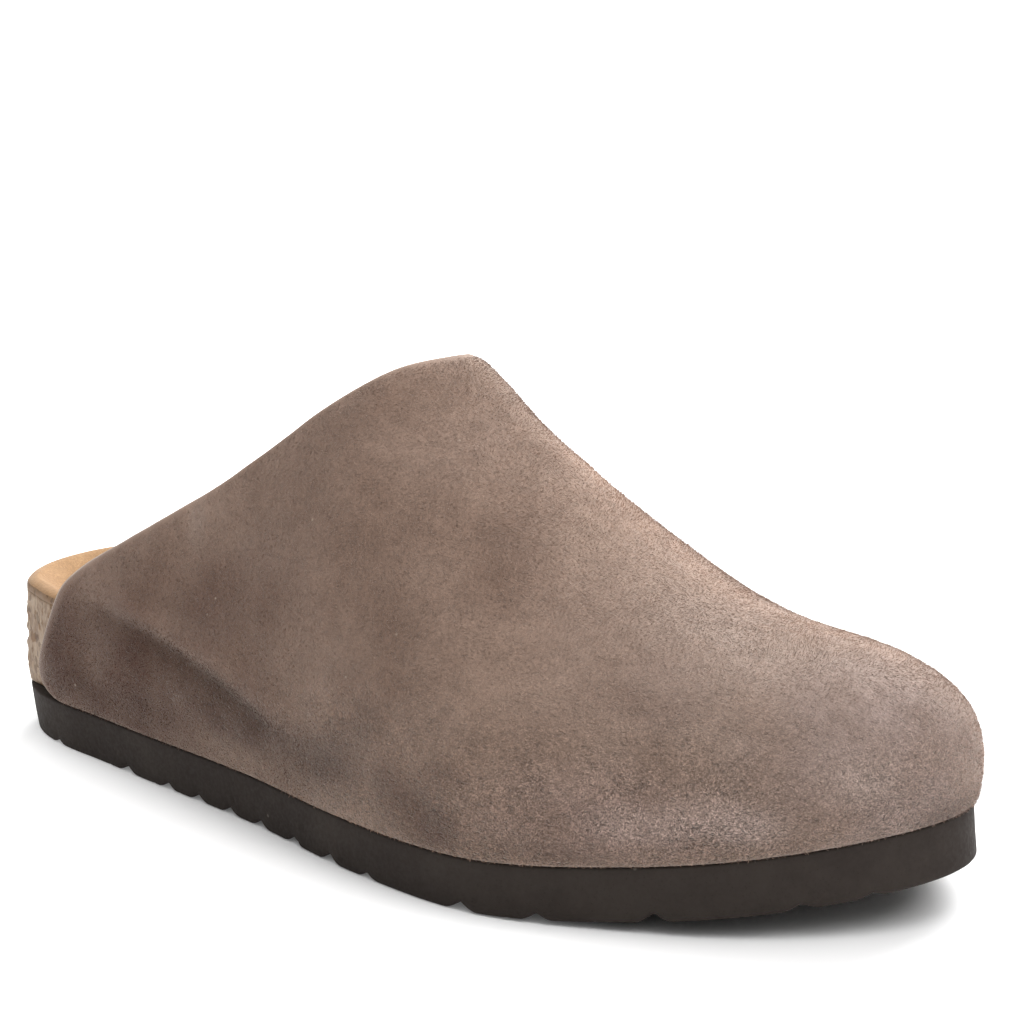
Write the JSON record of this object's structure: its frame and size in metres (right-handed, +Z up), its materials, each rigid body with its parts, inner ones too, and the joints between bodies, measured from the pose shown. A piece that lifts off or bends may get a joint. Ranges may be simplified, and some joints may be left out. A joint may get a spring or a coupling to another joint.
{
  "type": "slip-on clog",
  "caption": "Right slip-on clog: one-piece taupe suede upper open at the heel, leather-lined cork footbed with raised rim, thick dark outsole with notched tread.",
  "frame": {"origin": "on the ground under the middle of the whole shoe's bounding box", "axes": "+X along the shoe to the toe, +Y to the inner side of the right foot, +Z up"},
  "size_m": [0.28, 0.1134, 0.1149],
  "materials": {
    "outsole": "matt dark brown foam rubber with fine pores and a notched tread edge",
    "footbed": "raw granular cork, lightly sealed",
    "insole": "tan napped leather, rolled over the footbed's rim",
    "upper": "taupe suede with a short cloudy nap and a raw cut edge"
  },
  "bodies": {
    "root": {"outsole": "outsole", "footbed": "footbed", "insole": "insole", "upper": "upper"}
  },
  "joints": []
}
